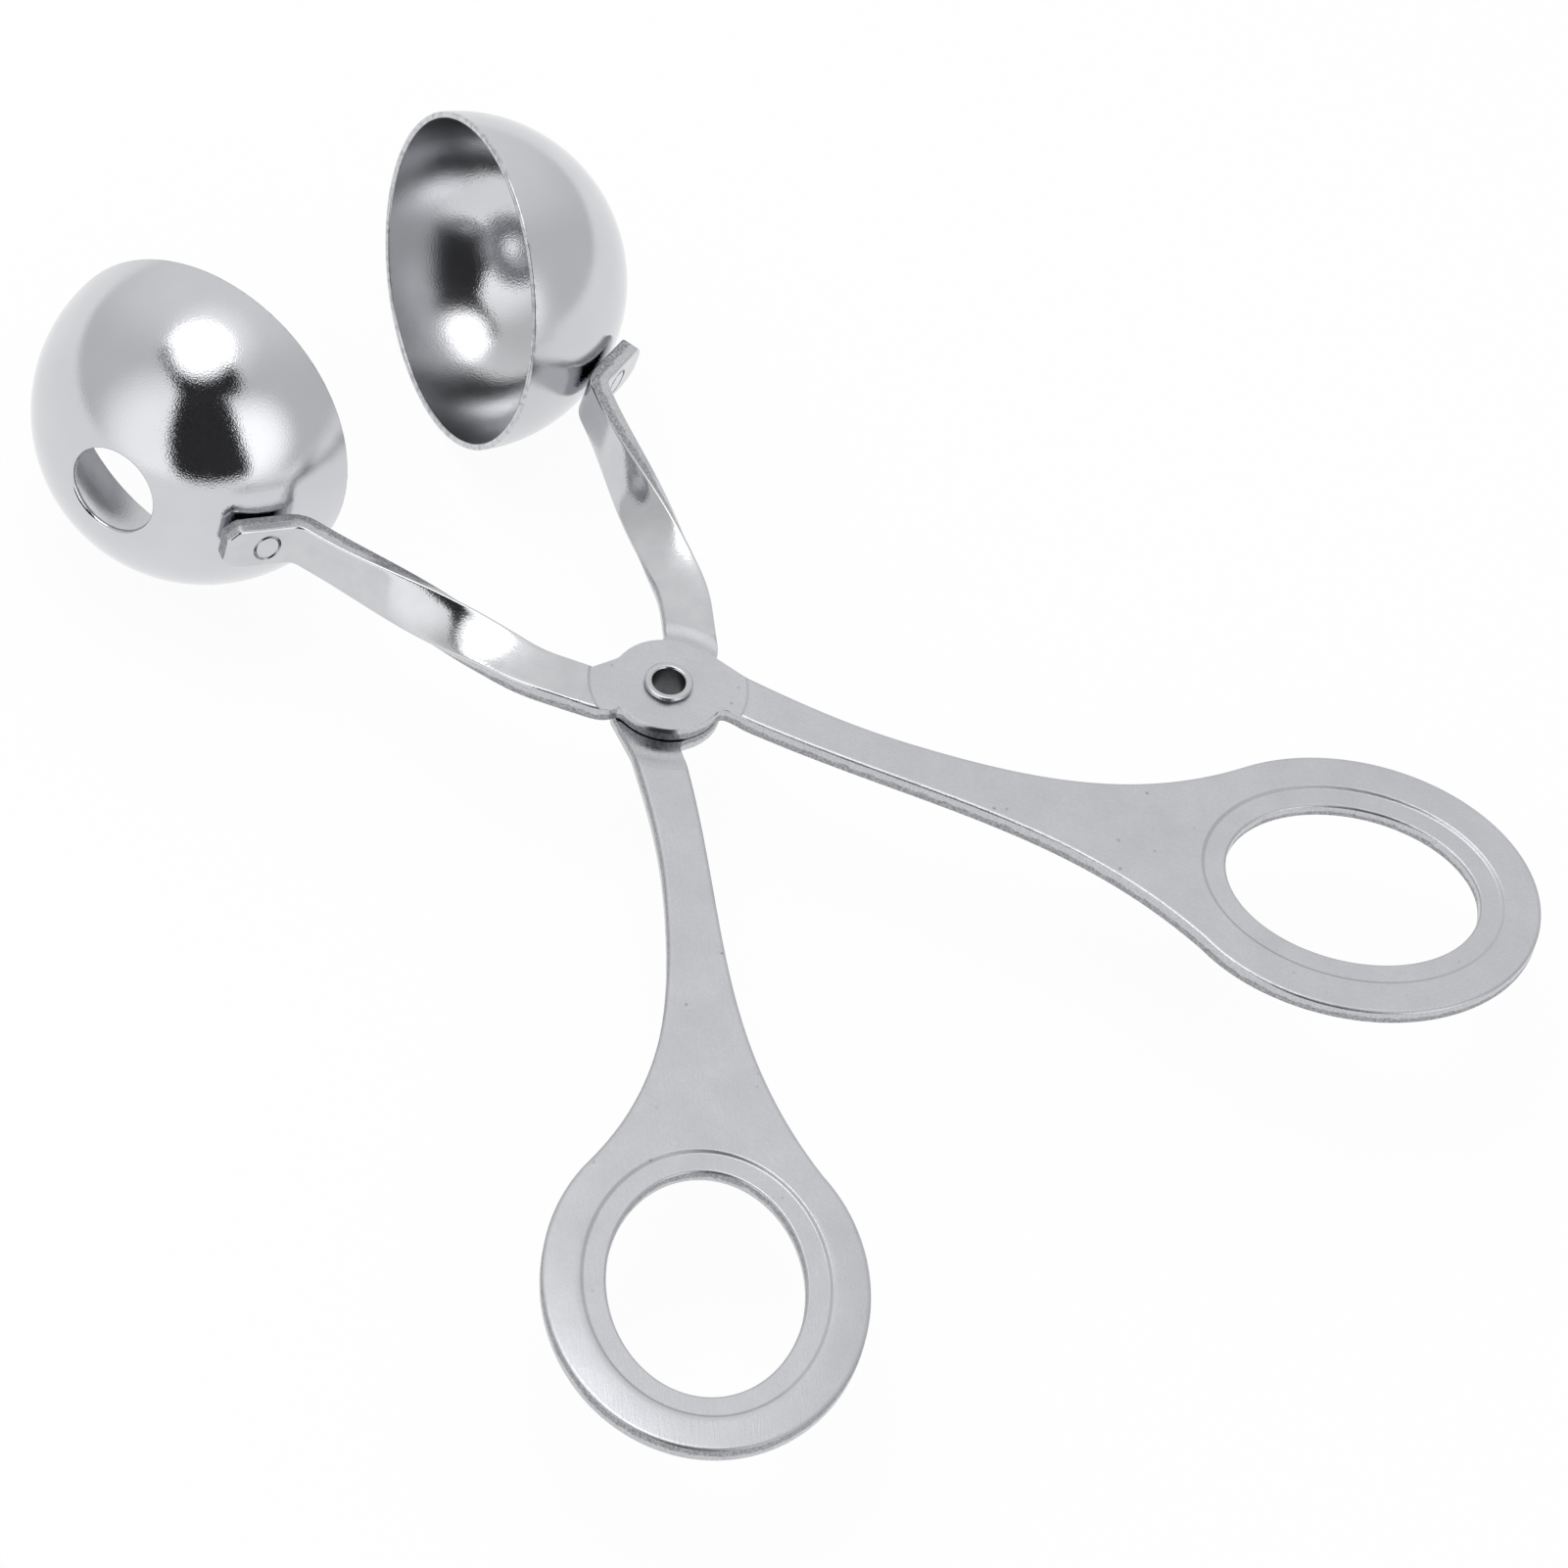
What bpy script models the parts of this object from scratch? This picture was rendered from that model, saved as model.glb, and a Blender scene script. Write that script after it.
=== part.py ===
"""Meatball scoop: two stamped steel arms on one hollow rivet, each with half a ball mould on its end.

Frame: the tool lies part open, with its bowls towards +Y, and the origin is the middle of its box. The
rivet's axis is parallel to Z and the arms meet at Z = 0. An arm's own frame has the rivet's axis as Z
and its handle along X.
"""

import math

import bmesh
import bpy
from mathutils import Matrix, Vector

MM = 0.001

# Sheet and clearances
SHEET = 2.4 * MM
EDGE_ROUND = 0.3 * MM
BOSS_CLEARANCE = 0.2 * MM
PIVOT_CLEARANCE = 0.2 * MM
COLLAR_CLEARANCE = 0.1 * MM
SEAT_CLEARANCE = 0.3 * MM
RIM_CLEARANCE = 0.3 * MM

# How far the tool stands open, as the angle between the two bowls' centres, and where its rivet is
OPENING = math.radians(33.5)
PIVOT = Vector((0.0, 2.2, 0.0)) * MM

# Bowls: half balls, with the plane they close on leaning a little from the rivet's axis and a vent
# punched a little off the pole
BOWL_BORE_RADIUS = 20.0 * MM
BOWL_WALL = 0.8 * MM
BOWL_REACH = 67.3 * MM
BOWL_BEARING = math.radians(160.7)
BOWL_LEAN = math.radians(8.0)
VENT_RADIUS = 5.6 * MM
VENT_LEAN = math.radians(2.1)
VENT_LEAN_BEARING = math.radians(60.0)

# Finger ring
RING_REACH = 83.8 * MM
RING_HOLE_LONG = 15.2 * MM
RING_HOLE_SHORT = 11.3 * MM
RING_WIDTH = 7.3 * MM
RING_TURN = math.radians(5.0)
BAND_WIDTH = 3.1 * MM
BAND_DEPTH = 0.25 * MM
BAND_SLOPE = 0.2 * MM

# Boss, coined thinner on both faces inside a circle
BOSS_RADIUS = 6.8 * MM
COIN_MARGIN = 2.65 * MM
COIN_DEPTH = 0.2 * MM
NOTCH_STEP = 0.35 * MM
NOTCH_ARC = math.radians(7.0)
BOSS_FROM_STRIP = math.radians(236.0)
BOSS_TO_HANDLE = math.radians(343.0)
BOSS_FROM_HANDLE = math.radians(73.0)
BOSS_TO_STRIP = math.radians(164.0)

# Handle: its left edge draws in to a waist, its right edge runs straight to a corner with the ring
LEFT_ROOT = Vector((8.5, 4.35)) * MM
LEFT_ROOT_FALL = math.radians(11.7)
WAIST = Vector((31.1, 1.65)) * MM
LEFT_NECK_END = math.radians(131.2)
RIGHT_ROOT = Vector((10.4, -2.0)) * MM
RIGHT_ROOT_FALL = math.radians(9.1)
RIGHT_NECK_FALL = math.radians(30.8)
RIGHT_NECK_END = math.radians(-136.2)
CURVE_TENSION = 0.37

# Strip from the boss to the bowl: bent in its plane, twisted on edge, then folded into a weld tab
STRIP_WIDTH = 6.0 * MM
STRIP_ROOT = 2.5 * MM
STRIP_OFFSET = 3.6 * MM
STRIP_HEADING = math.radians(177.0)
BEND_REACH = 6.8 * MM
BEND_RADIUS = 20.0 * MM
TWIST_START = 3.0 * MM
FOLD_RADIUS = 3.0 * MM
FOLD_TO_WELD = 4.2 * MM
WELD_TO_END = 5.2 * MM
TAB_CHAMFER = 1.3 * MM
WELD_BEARING = math.radians(36.2)

# Hollow rivet
RIVET_BORE_RADIUS = 1.95 * MM
RIVET_WALL = 0.45 * MM
COLLAR_RADIUS = 2.9 * MM
COLLAR_HEIGHT = 0.65 * MM
FLANGE_RADIUS = 3.6 * MM
FLANGE_HEIGHT = 0.7 * MM

# Facets
RING_STEPS = 64
DISC_STEPS = 48
COIN_STEPS = 96
BOWL_TURN_STEPS = 48
BOWL_RISE_STEPS = 12
LONGEST_STRIP_STEP = 1.6 * MM

COIN_RADIUS = BOSS_RADIUS + COIN_MARGIN
PLATE_BOTTOM = BOSS_CLEARANCE / 2 - COIN_DEPTH
BOSS_TOP = PLATE_BOTTOM + SHEET - COIN_DEPTH


# Plane curves


def curve(start, start_heading, end_heading, end, steps):
    """Points of a smooth curve after its start, up to and with its end."""
    pull = (end - start).length * CURVE_TENSION
    start_pull = start + direction(start_heading) * pull
    end_pull = end - direction(end_heading) * pull
    points = []
    for step in range(1, steps + 1):
        t = step / steps
        u = 1 - t
        points.append(start * u**3 + start_pull * 3 * u * u * t + end_pull * 3 * u * t * t + end * t**3)
    return points


def direction(angle):
    return Vector((math.cos(angle), math.sin(angle)))


def arc(radius, start, end, steps):
    return [direction(start + (end - start) * step / steps) * radius for step in range(steps + 1)]


def ring_point(angle, grow):
    """Point of the finger hole's ellipse, with both half axes made longer by grow."""
    long, short = RING_HOLE_LONG + grow, RING_HOLE_SHORT + grow
    point = Vector((long * math.cos(angle), short * math.sin(angle)))
    return Matrix.Rotation(RING_TURN, 2) @ point + Vector((RING_REACH, 0))


def ring_heading(angle):
    """Direction of the ring's outer edge at an angle, going anticlockwise."""
    long, short = RING_HOLE_LONG + RING_WIDTH, RING_HOLE_SHORT + RING_WIDTH
    return RING_TURN + math.atan2(short * math.cos(angle), -long * math.sin(angle))


def ring_loop(grow):
    return [ring_point(math.tau * step / RING_STEPS, grow) for step in range(RING_STEPS)]


def strip_root():
    return Vector((-BOSS_RADIUS - STRIP_ROOT, -STRIP_OFFSET))


def strip_corner(side):
    """Corner of the strip's root: side is 1 for the edge at +Y and -1 for the edge at -Y."""
    heading = direction(STRIP_HEADING)
    across = Vector((heading.y, -heading.x))
    return strip_root() + across * side * STRIP_WIDTH / 2


def plate_outline():
    """Open outline of boss, handle and ring, anticlockwise from the strip's -Y edge to its +Y edge."""
    points = [strip_corner(-1)]
    notch = direction(BOSS_FROM_STRIP - NOTCH_ARC) * (BOSS_RADIUS + NOTCH_STEP)
    points += curve(points[0], STRIP_HEADING - math.pi, BOSS_FROM_STRIP - math.pi, notch, 5)
    points += arc(BOSS_RADIUS, BOSS_FROM_STRIP, BOSS_TO_HANDLE, 14)
    points += curve(points[-1], BOSS_TO_HANDLE + math.pi / 2, -RIGHT_ROOT_FALL, RIGHT_ROOT, 6)
    neck_end = ring_point(RIGHT_NECK_END, RING_WIDTH)
    points += curve(RIGHT_ROOT, -RIGHT_ROOT_FALL, -RIGHT_NECK_FALL, neck_end, 16)
    sweep = LEFT_NECK_END - RIGHT_NECK_END
    steps = round(RING_STEPS * sweep / math.tau)
    points += [ring_point(RIGHT_NECK_END + sweep * step / steps, RING_WIDTH) for step in range(1, steps + 1)]
    points += curve(points[-1], ring_heading(LEFT_NECK_END), math.pi, WAIST, 14)
    points += curve(WAIST, math.pi, math.pi - LEFT_ROOT_FALL, LEFT_ROOT, 8)
    points.append(direction(BOSS_FROM_HANDLE - NOTCH_ARC) * (BOSS_RADIUS + NOTCH_STEP))
    points += arc(BOSS_RADIUS, BOSS_FROM_HANDLE, BOSS_TO_STRIP, 12)
    points.append(strip_corner(1))
    return points


# Stamped arm


def edge_profile(thickness, radius):
    """Rounded edge of the sheet from its lower face to its upper face, as (inset, height)."""
    side = radius * (1 - math.sqrt(0.5))
    lower = [(radius, 0.0), (side, side), (0.0, radius)]
    return lower + [(inset, thickness - height) for inset, height in reversed(lower)]


def finish_mesh(mesh, name):
    bmesh.ops.recalc_face_normals(mesh, faces=mesh.faces)
    data = bpy.data.meshes.new(name)
    mesh.to_mesh(data)
    mesh.free()
    return data


def inset_path(points, distance, start, end):
    """The open path moved to its left by distance, square to start and end at its two ends."""
    moved = []
    for index, point in enumerate(points):
        before = (point - points[index - 1]).normalized() if index else start
        after = (points[index + 1] - point).normalized() if index + 1 < len(points) else end
        normal = Vector((-before.y - after.y, before.x + after.x)).normalized()
        stretch = max(normal.dot(Vector((-after.y, after.x))), 0.5)
        moved.append(point + normal * distance / stretch)
    return moved


def bowl_frame():
    """Place of the bowl on its arm: X towards the rivet, Y up the rim, Z towards the bowl's pole."""
    inward = direction(BOWL_BEARING + math.pi).to_3d()
    pole = direction(BOWL_BEARING + math.pi / 2).to_3d() * math.cos(BOWL_LEAN)
    pole.z = math.sin(BOWL_LEAN)
    frame = Matrix((inward, pole.cross(inward), pole)).transposed().to_4x4()
    return Matrix.Translation(inward * -BOWL_REACH) @ frame


def weld_place():
    """Middle of the strip's tab where it meets the bowl, with the tab's run and its width direction."""
    frame = bowl_frame()
    outward = Vector((math.cos(WELD_BEARING), 0.0, math.sin(WELD_BEARING)))
    run = Vector((-math.sin(WELD_BEARING), 0.0, math.cos(WELD_BEARING)))
    stand_off = BOWL_BORE_RADIUS + BOWL_WALL + SEAT_CLEARANCE + SHEET / 2
    turn = frame.to_3x3()
    return frame @ (outward * stand_off), turn @ run, turn @ Vector((0.0, 1.0, 0.0))


def rounded_path(corners, radii, steps):
    """A path through the corners with each inner one rounded: a list of (point, run direction)."""
    path = [(corners[0], (corners[1] - corners[0]).normalized())]
    for index, radius in enumerate(radii, start=1):
        before = (corners[index] - corners[index - 1]).normalized()
        after = (corners[index + 1] - corners[index]).normalized()
        turn = before.angle(after)
        tangent = radius * math.tan(turn / 2)
        inward = (after - before).normalized()
        centre = corners[index] + inward * math.hypot(radius, tangent)
        axis = before.cross(after).normalized()
        start = corners[index] - before * tangent
        for step in range(steps[index - 1] + 1):
            spin = Matrix.Rotation(turn * step / steps[index - 1], 3, axis)
            path.append((centre + spin @ (start - centre), spin @ before))
    path.append((corners[-1], (corners[-1] - corners[-2]).normalized()))
    return path


def fill_straights(path, longest):
    """The path with points added so that no straight run is longer than longest."""
    filled = [path[0]]
    for (start, _), (end, run) in zip(path, path[1:]):
        count = math.ceil((end - start).length / longest)
        for step in range(1, count):
            filled.append((start.lerp(end, step / count), (end - start).normalized()))
        filled.append((end, run))
    return filled


def strip_sections():
    """Sections of the strip from the boss to the tab's end: (middle, width direction, half width)."""
    weld, run, width = weld_place()
    root = Vector((*strip_root(), PLATE_BOTTOM + SHEET / 2))
    heading = direction(STRIP_HEADING).to_3d()
    corners = [root, root + heading * BEND_REACH, weld - run * FOLD_TO_WELD, weld + run * WELD_TO_END]
    path = fill_straights(rounded_path(corners, [BEND_RADIUS, FOLD_RADIUS], [4, 6]), LONGEST_STRIP_STEP)
    lengths = [0.0]
    for (start, _), (end, _) in zip(path, path[1:]):
        lengths.append(lengths[-1] + (end - start).length)
    tab_length = (path[-1][0] - corners[2]).length
    twist_end = lengths[-1] - tab_length - FOLD_RADIUS
    sections = []
    for (point, tangent), length in zip(path, lengths):
        level = Vector((tangent.y, -tangent.x, 0.0)).normalized()
        raised = tangent.cross(level) * -1
        target = math.atan2(width.dot(raised), width.dot(level))
        share = min(max((length - TWIST_START) / (twist_end - TWIST_START), 0.0), 1.0)
        turn = target * share * share * (3 - 2 * share)
        across = level * math.cos(turn) + raised * math.sin(turn)
        half = STRIP_WIDTH / 2 - max(TAB_CHAMFER - (lengths[-1] - length), 0.0)
        sections.append((point, tangent, across, half))
    chamfer_start = path[-1][0] - path[-1][1] * TAB_CHAMFER
    last = sections.pop()
    sections = [section for section in sections if (section[0] - last[0]).length > TAB_CHAMFER]
    sections.append((chamfer_start, last[1], last[2], STRIP_WIDTH / 2))
    sections.append(last)
    return sections


def arm_mesh(name):
    """The stamping as the upper arm: handle along +X, its top face up."""
    mesh = bmesh.new()
    profile = edge_profile(SHEET, EDGE_ROUND)
    outline = plate_outline()
    heading = direction(STRIP_HEADING)
    levels = []
    for inset, height in profile:
        path = inset_path(outline, inset, heading * -1, heading)
        levels.append([mesh.verts.new((point.x, point.y, PLATE_BOTTOM + height)) for point in path])
    for below, above in zip(levels, levels[1:]):
        for index in range(len(outline) - 1):
            mesh.faces.new((below[index], below[index + 1], above[index + 1], above[index]))

    # Finger hole with its coined band on both faces
    hole_edge = edge_profile(SHEET - 2 * BAND_DEPTH, EDGE_ROUND)
    hole = [(BAND_WIDTH, 0.0), (BAND_WIDTH - BAND_SLOPE, BAND_DEPTH)]
    hole += [(inset, BAND_DEPTH + height) for inset, height in hole_edge]
    hole += [(BAND_WIDTH - BAND_SLOPE, SHEET - BAND_DEPTH), (BAND_WIDTH, SHEET)]
    hole_loops = []
    for grow, height in hole:
        hole_loops.append([mesh.verts.new((*point, PLATE_BOTTOM + height)) for point in ring_loop(grow)])
    bore = RIVET_BORE_RADIUS + RIVET_WALL + PIVOT_CLEARANCE
    bore_loops = []
    for height in (0.0, SHEET):
        loop = arc(bore, 0.0, math.tau, DISC_STEPS)[:-1]
        bore_loops.append([mesh.verts.new((*point, PLATE_BOTTOM + height)) for point in loop])
    for loops in (hole_loops, bore_loops):
        for below, above in zip(loops, loops[1:]):
            for index in range(len(below)):
                after = (index + 1) % len(below)
                mesh.faces.new((below[after], below[index], above[index], above[after]))

    # Faces of the plate
    for side in (0, -1):
        edges = []
        for loop in (levels[side], hole_loops[side], bore_loops[side]):
            for index, vertex in enumerate(loop):
                pair = (loop[index - 1], vertex)
                edges.append(mesh.edges.get(pair) or mesh.edges.new(pair))
        bmesh.ops.triangle_fill(mesh, use_beauty=True, edges=edges)

    # Strip: the section at its root is shared with the plate
    ring = [level[-1] for level in levels] + [level[0] for level in reversed(levels)]
    for point, tangent, across, half in strip_sections()[1:]:
        raised = tangent.cross(across) * -1
        following = []
        for side, order in ((1, profile), (-1, list(reversed(profile)))):
            for inset, height in order:
                offset = across * side * (half - inset) + raised * (height - SHEET / 2)
                following.append(mesh.verts.new(point + offset))
        for index in range(len(ring)):
            mesh.faces.new((ring[index - 1], ring[index], following[index], following[index - 1]))
        ring = following
    mesh.faces.new(ring)
    return finish_mesh(mesh, name)


# Turned pieces


def turned(name, profile, steps):
    """Closed solid made by turning a closed profile of (radius, height) once round Z."""
    mesh = bmesh.new()
    columns = []
    for radius, height in profile:
        if radius < 0.001 * MM:
            columns.append([mesh.verts.new((0.0, 0.0, height))] * steps)
            continue
        circle = arc(radius, 0.0, math.tau, steps)[:-1]
        columns.append([mesh.verts.new((*point, height)) for point in circle])
    for index, column in enumerate(columns):
        before = columns[index - 1]
        for step in range(steps):
            after = (step + 1) % steps
            corners = dict.fromkeys((before[step], before[after], column[after], column[step]))
            if len(corners) > 2:
                mesh.faces.new(corners)
    return finish_mesh(mesh, name)


def disc(name, radius, bottom, top, steps):
    return turned(name, [(0.0, bottom), (radius, bottom), (radius, top), (0.0, top)], steps)


def bowl_profile():
    """Half ball shell with its pole on +Z; the plane the bowls close on is Z = 0."""
    outer = []
    inner = []
    for radius, profile in ((BOWL_BORE_RADIUS + BOWL_WALL, outer), (BOWL_BORE_RADIUS, inner)):
        rim = math.asin(RIM_CLEARANCE / 2 / radius)
        for step in range(BOWL_RISE_STEPS + 1):
            angle = rim + (math.pi / 2 - rim) * step / BOWL_RISE_STEPS
            profile.append((radius * math.cos(angle), radius * math.sin(angle)))
    return outer + inner[::-1]


def rivet_profile():
    """Hollow rivet from the flange below the lower arm to the rolled collar on the upper arm."""
    barrel = RIVET_BORE_RADIUS + RIVET_WALL
    collar_seat = BOSS_TOP + COLLAR_CLEARANCE
    profile = []
    for reach, height, sign in ((FLANGE_RADIUS, FLANGE_HEIGHT, -1), (COLLAR_RADIUS, COLLAR_HEIGHT, 1)):
        crown = height / 2
        half = [(RIVET_BORE_RADIUS, collar_seat)]
        half.append((RIVET_BORE_RADIUS + crown * 0.3, collar_seat + height * 0.8))
        half.append((RIVET_BORE_RADIUS + crown, collar_seat + height))
        for step in range(5):
            angle = math.radians(90 - 45 * step)
            centre = Vector((reach - crown, collar_seat + crown))
            half.append(tuple(centre + direction(angle) * crown))
        half.append((barrel, collar_seat))
        half = [(radius, sign * height_at) for radius, height_at in half]
        profile += half if sign < 0 else reversed(half)
    return profile


# Scene


def steel(name, colour, roughness):
    material = bpy.data.materials.new(name)
    material.use_nodes = True
    shader = material.node_tree.nodes["Principled BSDF"]
    shader.inputs["Base Color"].default_value = (*colour, 1.0)
    shader.inputs["Metallic"].default_value = 1.0
    shader.inputs["Roughness"].default_value = roughness
    return material


def place(name, mesh, parent=None, matrix=None):
    """A new object; matrix is its place under its parent, or in the world."""
    piece = bpy.data.objects.new(name, mesh)
    bpy.context.scene.collection.objects.link(piece)
    mesh.shade_smooth()
    mesh.set_sharp_from_angle(angle=math.radians(30))
    piece.parent = parent
    piece.matrix_local = matrix or Matrix()
    return piece


def cut(piece, name, mesh, matrix=None):
    """Takes the mesh's shape from the piece; the cutter stays under it, hidden."""
    cutter = place(name, mesh, piece, matrix)
    cutter.hide_render = True
    cutter.display_type = "WIRE"
    boolean = piece.modifiers.new(name, "BOOLEAN")
    boolean.operation = "DIFFERENCE"
    boolean.solver = "EXACT"
    boolean.object = cutter


for old in list(bpy.data.objects):
    bpy.data.objects.remove(old, do_unlink=True)

satin = steel("satin_steel", (0.60, 0.61, 0.62), 0.38)
polished = steel("polished_steel", (0.68, 0.68, 0.69), 0.12)

stamping = arm_mesh("stamping")
stamping.materials.append(satin)
above_boss = disc("above_boss", COIN_RADIUS, BOSS_TOP, BOSS_TOP + SHEET, COIN_STEPS)
below_boss = disc("below_boss", COIN_RADIUS, BOSS_CLEARANCE / 2 - SHEET, BOSS_CLEARANCE / 2, COIN_STEPS)
half_ball = turned("half_ball", bowl_profile(), BOWL_TURN_STEPS)
half_ball.materials.append(polished)

upper_turn = math.radians(90) + OPENING / 2 - BOWL_BEARING
lower_turn = math.radians(90) - OPENING / 2 + BOWL_BEARING
pivot_place = Matrix.Translation(PIVOT)
upper_place = pivot_place @ Matrix.Rotation(upper_turn, 4, "Z")
lower_place = pivot_place @ Matrix.Rotation(lower_turn, 4, "Z") @ Matrix.Rotation(math.pi, 4, "X")
bowls = {}
for arm_name, arm_place, bowl_name in (
    ("upper_arm", upper_place, "vented_bowl"),
    ("lower_arm", lower_place, "plain_bowl"),
):
    arm = place(arm_name, stamping, matrix=arm_place)
    cut(arm, f"{arm_name}_top_coin", above_boss)
    cut(arm, f"{arm_name}_bottom_coin", below_boss)
    bowls[bowl_name] = place(bowl_name, half_ball, arm, bowl_frame())

punch = disc("punch", VENT_RADIUS, BOWL_BORE_RADIUS / 2, BOWL_BORE_RADIUS * 2, DISC_STEPS)
punch_axis = direction(VENT_LEAN_BEARING + math.pi / 2).to_3d()
cut(bowls["vented_bowl"], "vent_punch", punch, Matrix.Rotation(VENT_LEAN, 4, punch_axis))

eyelet = turned("pivot_eyelet", rivet_profile(), DISC_STEPS)
eyelet.materials.append(polished)
place("pivot_eyelet", eyelet, matrix=pivot_place)
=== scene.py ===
"""Looks of the meatball scoop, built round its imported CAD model.

Lengths are in metres, in the CAD frame: the tool lies part open with its bowls towards +Y, the rivet's
axis is parallel to Z and the arms meet at Z = 0.
"""

import math

import bmesh
import bpy
from mathutils import Matrix, Vector


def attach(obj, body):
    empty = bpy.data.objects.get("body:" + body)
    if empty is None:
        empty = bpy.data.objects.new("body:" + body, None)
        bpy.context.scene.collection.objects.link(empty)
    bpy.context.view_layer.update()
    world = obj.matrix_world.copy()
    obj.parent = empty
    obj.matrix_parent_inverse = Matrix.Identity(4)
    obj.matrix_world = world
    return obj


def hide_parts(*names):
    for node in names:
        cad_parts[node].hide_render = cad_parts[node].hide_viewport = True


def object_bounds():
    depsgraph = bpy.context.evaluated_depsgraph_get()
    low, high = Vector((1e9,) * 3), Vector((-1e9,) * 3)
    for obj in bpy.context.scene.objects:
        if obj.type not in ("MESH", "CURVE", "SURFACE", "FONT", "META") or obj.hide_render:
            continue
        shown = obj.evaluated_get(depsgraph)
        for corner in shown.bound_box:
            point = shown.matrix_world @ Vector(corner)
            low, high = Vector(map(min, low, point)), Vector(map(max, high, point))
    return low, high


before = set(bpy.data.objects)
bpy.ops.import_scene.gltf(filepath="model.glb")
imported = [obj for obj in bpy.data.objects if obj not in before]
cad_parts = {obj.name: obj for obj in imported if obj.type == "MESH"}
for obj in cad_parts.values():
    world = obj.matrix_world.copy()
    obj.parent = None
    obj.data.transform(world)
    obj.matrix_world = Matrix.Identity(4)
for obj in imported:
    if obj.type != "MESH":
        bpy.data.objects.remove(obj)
cad_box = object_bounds()

# Arms: two copies of one stamping of stainless sheet, blanked in one piece, coined thin round the boss
# and the finger hole, tumbled to a satin face, then twisted on edge and folded into the tab that is
# spot-welded to its bowl. The second copy is turned over under the first.

MM = 0.001
OPENING = math.radians(33.5)
PIVOT = Vector((0.0, 2.2, 0.0)) * MM
SHEET = 2.4 * MM
EDGE_ROUND = 0.3 * MM
DIE_ROLL = 0.5 * MM
BOSS_ROLL = 0.9 * MM
BOSS_CLEARANCE = 0.2 * MM
RIM_CLEARANCE = 0.3 * MM
SEAT_CLEARANCE = 0.3 * MM

BORE_RADIUS = 20.0 * MM
BOWL_WALL = 0.8 * MM
BOWL_REACH = 67.3 * MM
BOWL_BEARING = math.radians(160.7)
BOWL_LEAN = math.radians(8.0)

RING_REACH = 83.8 * MM
RING_HOLE = (15.2 * MM, 11.3 * MM)
RING_WIDTH = 7.3 * MM
RING_TURN = math.radians(5.0)
BAND_WIDTH = 3.1 * MM
BAND_DEPTH = 0.25 * MM
BAND_STEP = 0.6 * MM
BAND_ROUND = 0.39 * MM
RING_FALL = 0.33 * MM
FALL_SPACING = 0.45 * MM

LEFT_ROOT = Vector((8.5, 4.35)) * MM
LEFT_ROOT_FALL = math.radians(11.7)
WAIST = Vector((31.1, 1.65)) * MM
LEFT_NECK_END = math.radians(131.2)
RIGHT_ROOT = Vector((10.4, -2.0)) * MM
RIGHT_ROOT_FALL = math.radians(9.1)
RIGHT_NECK_FALL = math.radians(30.8)
RIGHT_NECK_END = math.radians(-136.2)
CURVE_PULL = 0.37

BOSS_RADIUS = 6.8 * MM
BOSS_FROM_STRIP = math.radians(236.0)
BOSS_TO_HANDLE = math.radians(343.0)
BOSS_FROM_HANDLE = math.radians(73.0)
BOSS_TO_STRIP = math.radians(164.0)
BOSS_REACH = 9.0 * MM
NOTCH_STEP = 0.35 * MM
NOTCH_ARC = math.radians(7.0)
COIN_RADIUS = 9.45 * MM
COIN_DEPTH = 0.2 * MM
COIN_STEP = 0.5 * MM
SOFT_STEP = 2.2 * MM
RIVET_HOLE_RADIUS = 2.6 * MM
PLATE_BOTTOM = BOSS_CLEARANCE / 2 - COIN_DEPTH
PLATE_TOP = PLATE_BOTTOM + SHEET

STRIP_WIDTH = 6.0 * MM
STRIP_ROOT = Vector((-9.3, -3.6)) * MM
STRIP_HEADING = math.radians(177.0)
BEND_REACH = 6.8 * MM
BEND_RADIUS = 20.0 * MM
TWIST_START = 3.0 * MM
FOLD_RADIUS = 3.0 * MM
FOLD_TO_WELD = 4.2 * MM
WELD_TO_END = 5.2 * MM
TAB_CHAMFER = 1.3 * MM
TAB_ROLL = 2.6
WELD_BEARING = math.radians(36.2)
PRINT_EDGES = (1.32 * MM, 1.43 * MM, 1.6 * MM, 1.76 * MM)
PRINT_DEPTH = 0.13 * MM

OUTLINE_STEP = 0.25 * MM
STRIP_STEP = 0.4 * MM
FACE_STEPS = 10
BEND_STEPS = 24
EDGE_STEPS = 6
RING_STEPS = 288
BORE_STEPS = 96
COIN_STEPS = 192

FACE, EDGE, STRIP, PRINT, COINED = range(5)


def direction(angle):
    return Vector((math.cos(angle), math.sin(angle)))


def arc(radius, start, end, steps):
    return [direction(start + (end - start) * step / steps) * radius for step in range(steps + 1)]


def curve(start, start_heading, end_heading, end, steps):
    """Points of a smooth curve after its start, up to and with its end."""
    pull = (end - start).length * CURVE_PULL
    points = []
    for step in range(1, steps + 1):
        t = step / steps
        u = 1 - t
        point = start * u**3 + (start + direction(start_heading) * pull) * 3 * u * u * t
        points.append(point + (end - direction(end_heading) * pull) * 3 * u * t * t + end * t**3)
    return points


def ring_point(angle, grow):
    point = Vector(((RING_HOLE[0] + grow) * math.cos(angle), (RING_HOLE[1] + grow) * math.sin(angle)))
    return Matrix.Rotation(RING_TURN, 2) @ point + Vector((RING_REACH, 0))


def strip_corner(side):
    heading = direction(STRIP_HEADING)
    return STRIP_ROOT + Vector((heading.y, -heading.x)) * side * STRIP_WIDTH / 2


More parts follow.
